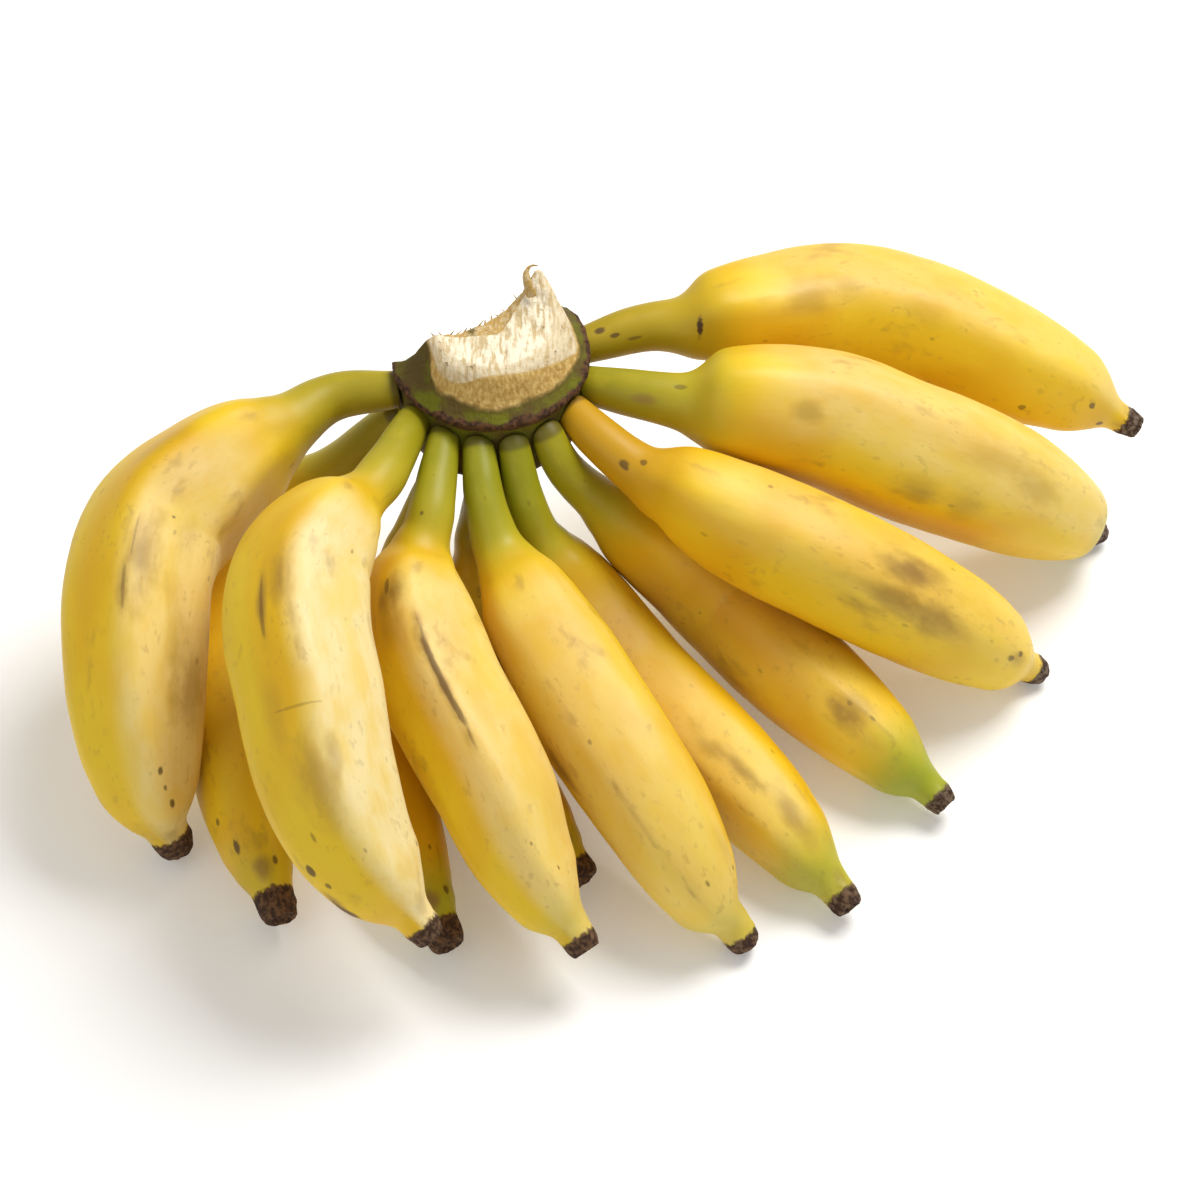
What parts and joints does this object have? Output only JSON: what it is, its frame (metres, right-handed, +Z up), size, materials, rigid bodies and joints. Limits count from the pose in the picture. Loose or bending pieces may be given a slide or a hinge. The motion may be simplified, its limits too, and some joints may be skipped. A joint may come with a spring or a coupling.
{
  "type": "hand of bananas",
  "caption": "Hand of short, thick, ripe bananas fanned round their cut crown, lying on its bellies and tips, as a still-life or fruit-bowl object.",
  "frame": {"origin": "middle of the footprint's box on the table", "axes": "+X along the longest extent, towards the right of the picture; +Y away from the picture's camera; +Z up"},
  "size_m": [0.2494, 0.1772, 0.0836],
  "materials": {
    "peel": "ripe banana peel, waxy satin",
    "crown": "dry cut stem tissue, matt"
  },
  "bodies": {
    "root": {"crown": "crown", "finger_upper_1": "peel", "finger_upper_2": "peel", "finger_upper_3": "peel", "finger_upper_4": "peel", "finger_upper_5": "peel", "finger_upper_6": "peel", "finger_upper_7": "peel", "finger_upper_8": "peel", "finger_upper_9": "peel", "finger_lower_1": "peel", "finger_lower_2": "peel", "finger_lower_3": "peel"}
  },
  "joints": []
}
